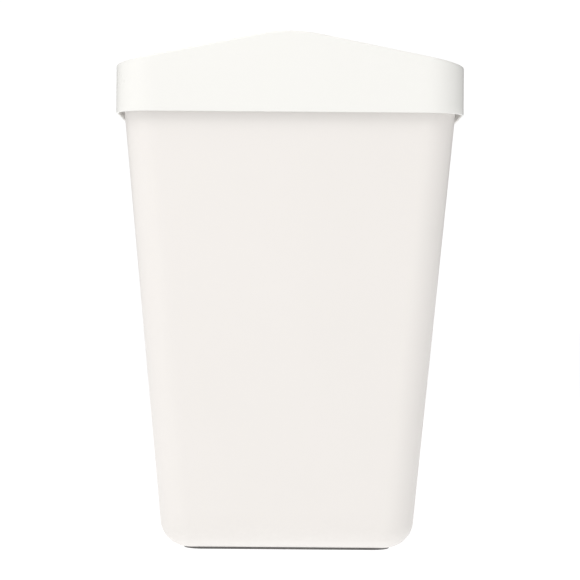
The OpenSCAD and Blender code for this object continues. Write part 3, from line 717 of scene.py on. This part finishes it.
def make_hood():
    """Hood: skirt, rounded eave, gabled border, chute, ribs, hinge bosses and the ledge for the flaps."""
    mouth_x, mouth_y = HOOD_X - 22 * MM, HOOD_Y - 20 * MM
    skirt_z, chute_z = hood_low.z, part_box("inner_bucket")[1].z + 0.2 * MM
    drop = WALL / math.cos(ROOF_PITCH)
    rows = []

    def ring(inset, height=None, below=None):
        """A ring inset from the outside, at a height or at a distance below the roof."""
        flat = outline(HOOD_X - inset, HOOD_Y - inset, HOOD_CORNER - inset)
        rows.append([(x, y, height if height is not None else roof_z(x, ROOF_TOP) - below) for x, y in flat])

    def mouth_ring(grow, height=None, below=None, share=1.0):
        """A ring round the mouth, grown outwards, or partly on the way to it from the eave."""
        inner = outline(mouth_x + grow, mouth_y + grow, max(0.6 * MM + grow, 0.3 * MM))
        outer = outline(HOOD_X - eave, HOOD_Y - eave, HOOD_CORNER - eave)
        flat = [(a[0] + (b[0] - a[0]) * share, a[1] + (b[1] - a[1]) * share) for a, b in zip(outer, inner)]
        rows.append([(x, y, height if height is not None else roof_z(x, ROOF_TOP) - below) for x, y in flat])

    eave, lip = 2.4 * MM, 0.7 * MM
    face_height = 44 * MM                               # skirt, from its lower lip to the corner's eave
    ring(WALL - 0.1 * MM, skirt_z + lip)
    ring(WALL - lip, skirt_z)
    ring(lip, skirt_z)
    ring(0.15 * MM, skirt_z + 0.25 * MM)
    ring(0, skirt_z + lip)
    for i in range(1, 5):
        ring(0, skirt_z + (face_height - 2 * lip) * i / 5)
    steps = 6
    for i in range(steps + 1):
        a = math.pi / 2 * i / steps
        ring(eave * (1 - math.cos(a)), below=eave * (1 - math.sin(a)))
    brow = 0.8 * MM                                     # rounding of the mouth's upper edge
    for share in (0.15, 0.35, 0.6, 0.85):
        mouth_ring(brow, below=0, share=share)
    for i in range(4):
        a = math.pi / 2 * i / 3
        mouth_ring(brow * (1 - math.sin(a)), below=brow * (1 - math.cos(a)))
    mouth_ring(0, below=4 * MM)
    mouth_ring(0, chute_z + 0.5 * MM)
    mouth_ring(0.5 * MM, chute_z)
    mouth_ring(1.5 * MM, chute_z)
    mouth_ring(2 * MM, chute_z + 0.5 * MM)
    mouth_ring(2 * MM, below=drop + 1 * MM)
    mouth_ring(3 * MM, below=drop)
    ring(WALL + 1 * MM, below=drop)
    ring(WALL, below=drop + 1 * MM)
    bm = bmesh.new()
    ring_band(bm, rows, close=True)
    bmesh.ops.recalc_face_normals(bm, faces=bm.faces)
    hood = new_piece("hood_shell", bm, HOOD_WHITE)
    stands_for(hood, "hood")

    bm = bmesh.new()
    thick, sunk, bite = 1 * MM, 1.2 * MM, 1.5 * MM      # half a rib; below the roof; into the skirt
    for x in (-90 * MM, 0, 90 * MM):
        for side in (-1, 1):
            if side > 0 and x == 0:
                continue                                # the push rod comes up here
            y0, y1 = sorted((side * (mouth_y + 1 * MM), side * (HOOD_Y - bite)))
            add_box(bm, (x - thick, y0, chute_z), (x + thick, y1, roof_z(abs(x) + thick, ROOF_TOP) - sunk))
    side_top = roof_z(HOOD_X - bite, ROOF_TOP) - sunk
    for side in (-1, 1):
        for y in (-80 * MM, 0, 80 * MM):
            x0, x1 = sorted((side * (mouth_x + 1 * MM), side * (HOOD_X - bite)))
            add_box(bm, (x0, y - thick, chute_z), (x1, y + thick, side_top))
    moulded_in(bm, "hood_ribs", 0.3)
    hinge_fittings(mouth_y)
    flap_ledge(mouth_y)


def moulded_in(bm, name, edge):
    """A further shape of the hood's own moulding, its edges rounded by edge millimetres."""
    bmesh.ops.recalc_face_normals(bm, faces=bm.faces)
    piece = new_piece(name, bm, HOOD_WHITE)
    round_edges(piece, edge, 2, HOOD_WHITE)
    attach(piece, body_of_node["hood"])


def tube_along_y(bm, x, z, y0, y1, outer, inner, steps=40):
    """A closed tube along Y."""
    turn = [2 * math.pi * i / steps for i in range(steps)]
    rings = [[(x + r * math.cos(a), y, z + r * math.sin(a)) for a in turn]
             for r, y in ((inner, y0), (outer, y0), (outer, y1), (inner, y1))]
    ring_band(bm, rings, close=True)


def hinge_fittings(mouth_y):
    """Bosses that hold the hinge rods, and lugs for the screen."""
    low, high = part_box("hinge_rod_right")
    x, z, radius = (low.x + high.x) / 2, (low.z + high.z) / 2, (high.x - low.x) / 2
    bm = bmesh.new()
    for s in (-1, 1):
        for e in (-1, 1):
            y0, y1 = sorted((e * (mouth_y + 0.5 * MM), e * (mouth_y + 7 * MM)))
            tube_along_y(bm, s * x, z, y0, y1, 5.4 * MM, radius)
    screen_low, screen_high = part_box("mechanism_screen")
    half_lug, lug_x = 8 * MM, screen_high.x - 7.5 * MM
    for s in (-1, 1):
        add_box(bm, (s * lug_x - half_lug, screen_high.y, screen_low.z),
                (s * lug_x + half_lug, screen_high.y + 3 * MM, screen_low.z + 9 * MM))
    moulded_in(bm, "hood_bosses", 0.3)


def flap_ledge(mouth_y):
    """Gabled shelf under the front ends of the flaps."""
    drop = 2.5 * MM / math.cos(ROOF_PITCH) + 3.2 * MM
    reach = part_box("hinge_rod_right")[0].x + 2 * MM - 10 * MM
    thick, shelf = 2.2 * MM, 7 * MM
    count = 48
    xs = [-reach + 2 * reach * i / count for i in range(count + 1)]
    bm = bmesh.new()
    sections = []
    for y in (-mouth_y - 1 * MM, -mouth_y + shelf):
        upper = [(x, y, roof_z(x, ROOF_TOP) - drop) for x in xs]
        lower = [(x, y, roof_z(x, ROOF_TOP) - drop - thick) for x in reversed(xs)]
        sections.append(upper + lower)
    loops = ring_band(bm, sections)
    for loop in loops:
        for i in range(count):
            j = len(loop) - 1 - i
            bm.faces.new((loop[i], loop[i + 1], loop[j - 1], loop[j]))
    moulded_in(bm, "hood_ledge", 0.4)


# ---------------------------------------------------------------- screws, grip and the rest

def islands(node):
    """The separate solids of a CAD node, each as a list of its points."""
    bm = bmesh.new()
    bm.from_mesh(nodes[node].data)
    bmesh.ops.remove_doubles(bm, verts=bm.verts, dist=MERGE)
    left, groups = set(bm.verts), []
    while left:
        todo, group = [left.pop()], []
        while todo:
            vert = todo.pop()
            group.append(vert.co.copy())
            for edge in vert.link_edges:
                other = edge.other_vert(vert)
                if other in left:
                    left.remove(other)
                    todo.append(other)
        groups.append(group)
    bm.free()
    return sorted(groups, key=lambda g: (round(g[0].x, 3), round(g[0].z, 3)))


def make_screws(node, toward, head=1.8 * MM):
    """Pan-head screws where the CAD node has them; toward is the way their heads point, by solid."""
    seats = []
    for number, group in enumerate(islands(node)):
        axis = Vector(toward(number) if callable(toward) else toward).normalized()
        reach = [p.dot(axis) for p in group]
        middle = sum(group, Vector()) / len(group)
        seat = middle + axis * (max(reach) - head - middle.dot(axis))
        seats.append((seat, axis, max(reach) - min(reach) - head))
    mesh = bpy.data.meshes.new(node + "_zinc")
    mesh.from_pydata([seat for seat, _, _ in seats], [], [])
    axes = mesh.attributes.new("seat_axis", "FLOAT_VECTOR", "POINT")
    for i, (_, axis, _) in enumerate(seats):
        axes.data[i].vector = axis
    piece = placed(node + "_zinc", mesh)
    run_tree(piece, SCREWS, {"Head Radius": 3 * MM, "Head Height": head, "Shank Radius": 1.5 * MM,
                             "Shank Length": seats[0][2], "Slot Width": 0.8 * MM, "Material": SCREW_ZINC})
    finish_mesh(piece, SCREW_ZINC)
    stands_for(piece, node)


def make_grip():
    """Rubber pad let into the tread, with round-topped ribs across it."""
    low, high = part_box("tread_grip")
    centre = (low + high) / 2
    place = Matrix.Translation(centre) @ Matrix.Rotation(-TREAD_TILT, 4, "X")
    half_x, half_y = (high.x - low.x) / 2, 13.8 * MM
    floor, face = -1.25 * MM, 0.25 * MM
    bm = bmesh.new()
    rings = [[(x, y, z) for x, y in outline(half_x - inset, half_y - inset, 6.8 * MM - inset, side=8, turn=8)]
             for inset, z in ((0.2 * MM, floor), (0, floor + 0.2 * MM), (0, face - 0.4 * MM),
                              (0.15 * MM, face - 0.1 * MM), (0.5 * MM, face))]
    loops = ring_band(bm, rings)
    bm.faces.new(loops[0])
    bm.faces.new(loops[-1])
    bmesh.ops.recalc_face_normals(bm, faces=bm.faces)
    pad = new_piece("tread_grip_rubber", bm, DARK_RUBBER)
    ribs = new_piece("grip_ribs", bmesh.new(), DARK_RUBBER)
    run_tree(ribs, RIBS, {"Count": 5, "Pitch": 5 * MM, "Length": 2 * half_x - 13 * MM, "Width": 2.8 * MM,
                          "Height": 0.95 * MM, "Material": DARK_RUBBER})
    ribs.data.transform(Matrix.Translation((0, 0, face)))
    bm = bmesh.new()
    bm.from_mesh(pad.data)
    bm.from_mesh(ribs.data)
    bm.to_mesh(pad.data)
    bm.free()
    bpy.data.objects.remove(ribs)
    pad.data.transform(place)
    finish_mesh(pad, DARK_RUBBER)
    stands_for(pad, "tread_grip")


def make_pieces():
    """Every piece of the bin: own shapes first, then softened copies, grip and screws."""
    make_tub()
    make_bucket()
    make_bag_ring()
    make_base_ring()
    make_hood()
    for side in ("left", "right"):
        softened("flap_" + side, 0.55, HOOD_WHITE, segments=3)
        softened("crank_" + side, 0.35, GREY_MOULDING)
        softened("axle_bracket_" + side, 0.5, GREY_MOULDING)
        softened("hinge_rod_" + side, 0.3, ROD_STEEL, "hinge_rod_%s_steel" % side)
    softened("mechanism_screen", 0.35, SCREEN_WHITE)
    for node, edge in (("lower_rod_guide", 0.5), ("upper_rod_guide", 0.5), ("yoke", 0.4), ("rod_foot", 0.4),
                       ("hinge_caps", 0.5)):
        softened(node, edge, GREY_MOULDING)
    softened("pedal_tread", 1.6, TREAD_WHITE, segments=4)
    softened("pedal_lever", 0.5, LEVER_STEEL, "pedal_lever_steel")
    softened("pedal_axle", 0.4, AXLE_STEEL, "pedal_axle_steel")
    softened("push_rod", 0.5, ROD_STEEL, "push_rod_steel")
    softened("yoke_pads", 0.4, DARK_RUBBER, "yoke_pads_rubber")
    softened("closing_buffers", 0.5, DARK_RUBBER, "closing_buffers_rubber")
    softened("ridge_seal", 0.3, SEAL_RUBBER, "ridge_seal_rubber")
    make_grip()
    lever_down = (0, -math.sin(TREAD_TILT), -math.cos(TREAD_TILT))
    rear_wall = (0, -math.cos(LEAN), math.sin(LEAN))
    rod_up = (0, math.sin(LEAN), math.cos(LEAN))
    under_flap = (math.sin(ROOF_PITCH), 0, -math.cos(ROOF_PITCH))
    make_screws("bracket_screws", (0, 0, 1))
    make_screws("guide_screws", rear_wall)
    make_screws("tread_screws", lever_down)
    make_screws("yoke_screw", rod_up)
    make_screws("screen_screws", (0, -1, 0))
    make_screws("crank_screws_left", under_flap)
    make_screws("crank_screws_right", (-under_flap[0], 0, under_flap[2]))


# ---------------------------------------------------------------- camera, floor and light

def make_camera():
    """Long lens at mid height behind the bin, turned a little about its own axis."""
    data = bpy.data.cameras.new("camera")
    data.lens, data.sensor_width = 122, 36
    data.clip_start, data.clip_end = 0.05, 50
    camera = placed("camera", data)
    camera.location = (-0.0015, 2.15, 0.2734)
    camera.rotation_mode = "QUATERNION"
    roll = Quaternion((0, 0, 1), math.radians(0.45))
    camera.rotation_quaternion = Vector((0, -1, 0)).to_track_quat("-Z", "Y") @ roll
    bpy.context.scene.camera = camera


def make_floor():
    """Plain pale floor that is all but blown out."""
    mesh = bpy.data.meshes.new("floor")
    bm = bmesh.new()
    bmesh.ops.create_circle(bm, cap_ends=True, segments=96, radius=12)
    bm.to_mesh(mesh)
    bm.free()
    floor = placed("floor", mesh)
    material, _, shader = blank("pale_floor")
    shader.inputs["Base Color"].default_value = (0.30, 0.30, 0.30, 1)
    shader.inputs["Roughness"].default_value = 0.9
    shader.inputs["Specular IOR Level"].default_value = 0.1
    shader.inputs["Emission Color"].default_value = (1, 1, 1, 1)
    shader.inputs["Emission Strength"].default_value = 0.86
    mesh.materials.append(material)


def make_world():
    """White backdrop; its light comes mostly from the rear left of the bin, where the camera stands."""
    world = bpy.data.worlds.new("studio")
    bpy.context.scene.world = world
    world.use_nodes = True
    tree = world.node_tree
    tree.nodes.clear()
    seen, lit, path, mix, out = (tree.nodes.new(k) for k in (
        "ShaderNodeBackground", "ShaderNodeBackground", "ShaderNodeLightPath", "ShaderNodeMixShader",
        "ShaderNodeOutputWorld"))
    way, toward, fade = (tree.nodes.new(k) for k in (
        "ShaderNodeTexCoord", "ShaderNodeVectorMath", "ShaderNodeMapRange"))
    toward.operation = "DOT_PRODUCT"
    toward.inputs[1].default_value = Vector((0.50, 0.75, 0.30)).normalized()
    for label, number in (("From Min", -0.9), ("From Max", 0.9), ("To Min", 0.06), ("To Max", 0.82)):
        fade.inputs[label].default_value = number
    seen.inputs["Color"].default_value, seen.inputs["Strength"].default_value = (1, 1, 1, 1), 1.05
    lit.inputs["Color"].default_value = (1.0, 0.982, 0.958, 1)
    wire(tree, (way.outputs["Generated"], toward.inputs[0]),
         (toward.outputs["Value"], fade.inputs["Value"]), (fade.outputs[0], lit.inputs["Strength"]),
         (path.outputs["Is Camera Ray"], mix.inputs["Fac"]), (lit.outputs[0], mix.inputs[1]),
         (seen.outputs[0], mix.inputs[2]), (mix.outputs[0], out.inputs["Surface"]))


def area_light(name, place, aim, size, power, colour=(1, 1, 1)):
    """A soft rectangular light at place, turned towards aim."""
    data = bpy.data.lights.new(name, "AREA")
    data.shape, data.size, data.size_y = "RECTANGLE", size[0], size[1]
    data.energy, data.color = power, colour
    lamp = placed(name, data)
    lamp.location = place
    lamp.rotation_mode = "QUATERNION"
    lamp.rotation_quaternion = (Vector(aim) - Vector(place)).to_track_quat("-Z", "Y")


KEY, TOP, BACK = 15, 7, 8               # powers of the soft lights, in watts


def make_lights():
    """Key light on the rear left, with softer ones above and on the pedal side."""
    middle = (0, 0, 0.3)
    area_light("soft_key", (0.7, 1.5, 2.2), middle, (1.2, 1.2), KEY, (1, 0.985, 0.965))
    area_light("soft_top", (0.1, 0.0, 2.4), middle, (1.6, 1.6), TOP)
    area_light("soft_back", (0.3, -2.2, 1.9), middle, (1.4, 1.2), BACK)


make_camera()
make_floor()
make_world()
make_lights()
make_pieces()
bpy.context.scene.view_settings.view_transform = "Standard"
bpy.context.scene.view_settings.look = "None"
